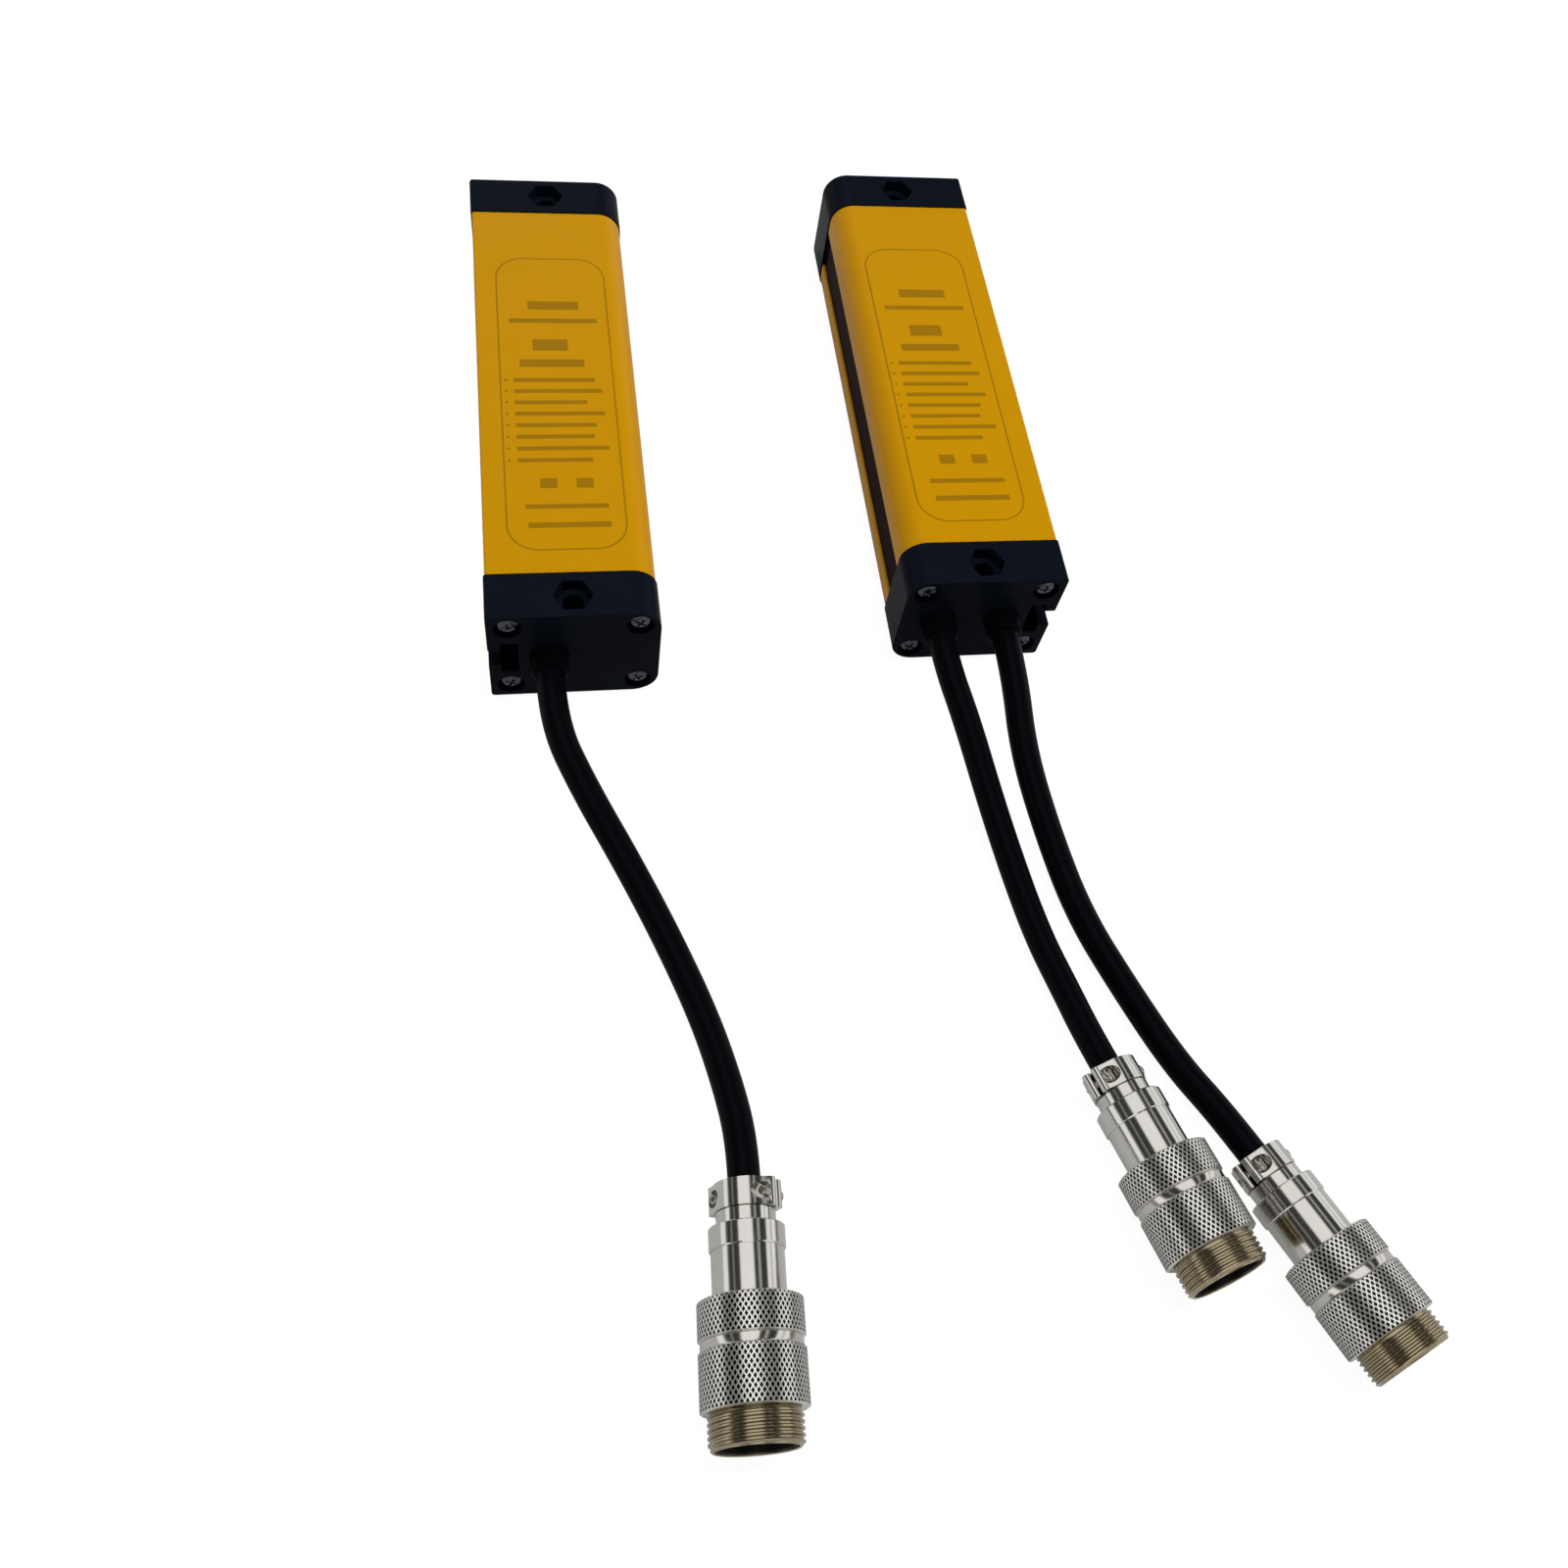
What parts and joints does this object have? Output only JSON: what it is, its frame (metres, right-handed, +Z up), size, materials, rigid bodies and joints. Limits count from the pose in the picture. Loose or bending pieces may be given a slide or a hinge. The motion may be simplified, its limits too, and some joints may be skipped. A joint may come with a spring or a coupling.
{
  "type": "safety light curtain",
  "caption": "Pair of slim bars, an infrared emitter and a receiver with T-slot backs and dark windows, with short cables that end in threaded metal connectors.",
  "frame": {"origin": "on the floor, midway between the two bars and midway along the pair, with the cables and their connectors left out", "axes": "+Z up, out of the label side; +Y along the bars, away from the cables; +X from the emitter to the receiver"},
  "size_m": [0.1607, 0.2902, 0.028],
  "materials": {
    "housing": "yellow coat, satin",
    "window": "dark red filter, polished",
    "gasket": "matt",
    "end_cap": "moulded, semi-gloss",
    "cap_screw": "blackened",
    "circuit_board": "solder mask",
    "board_socket": "moulded",
    "lens_holder": "moulded, matt",
    "lens": "polished",
    "lamp": "diffusing",
    "gland": "moulded, semi-gloss",
    "infrared_emitter": "clear top",
    "photodiode": "dark top",
    "nickel": "nickel plated, polished, with knurled bands",
    "insulator": "moulded",
    "contact": "plated",
    "clamp_screw": "zinc plated, dull",
    "cable_jacket": "extruded, semi-gloss"
  },
  "bodies": {
    "root": {"emitter_housing": "housing", "emitter_window": "window", "emitter_near_gasket": "gasket", "emitter_far_gasket": "gasket", "emitter_near_cap": "end_cap", "emitter_far_cap": "end_cap", "emitter_cap_screws": "cap_screw", "emitter_circuit_board": "circuit_board", "emitter_board_socket": "board_socket", "emitter_lens_holder": "lens_holder", "emitter_lenses": "lens", "emitter_status_lamps": "lamp", "receiver_housing": "housing", "receiver_window": "window", "receiver_near_gasket": "gasket", "receiver_far_gasket": "gasket", "receiver_near_cap": "end_cap", "receiver_far_cap": "end_cap", "receiver_cap_screws": "cap_screw", "receiver_circuit_board": "circuit_board", "receiver_board_socket": "board_socket", "receiver_lens_holder": "lens_holder", "receiver_lenses": "lens", "receiver_status_lamps": "lamp", "emitter_gland": "gland", "receiver_output_gland": "gland", "receiver_link_gland": "gland", "emitter_infrared_emitters": "infrared_emitter", "receiver_photodiodes": "photodiode", "emitter_connector_body": "nickel", "emitter_connector_rear_shell": "nickel", "emitter_connector_insert": "insulator", "emitter_connector_contacts": "contact", "emitter_connector_clamp_strap": "nickel", "emitter_connector_clamp_screws": "clamp_screw", "emitter_connector_grub_screw": "clamp_screw", "receiver_link_connector_body": "nickel", "receiver_link_connector_rear_shell": "nickel", "receiver_link_connector_insert": "insulator", "receiver_link_connector_contacts": "contact", "receiver_link_connector_clamp_strap": "nickel", "receiver_link_connector_clamp_screws": "clamp_screw", "receiver_link_connector_grub_screw": "clamp_screw", "receiver_output_connector_body": "nickel", "receiver_output_connector_rear_shell": "nickel", "receiver_output_connector_insert": "insulator", "receiver_output_connector_contacts": "contact", "receiver_output_connector_clamp_strap": "nickel", "receiver_output_connector_clamp_screws": "clamp_screw", "receiver_output_connector_grub_screw": "clamp_screw", "emitter_cable": "cable_jacket", "receiver_link_cable": "cable_jacket", "receiver_output_cable": "cable_jacket"}
  },
  "joints": []
}
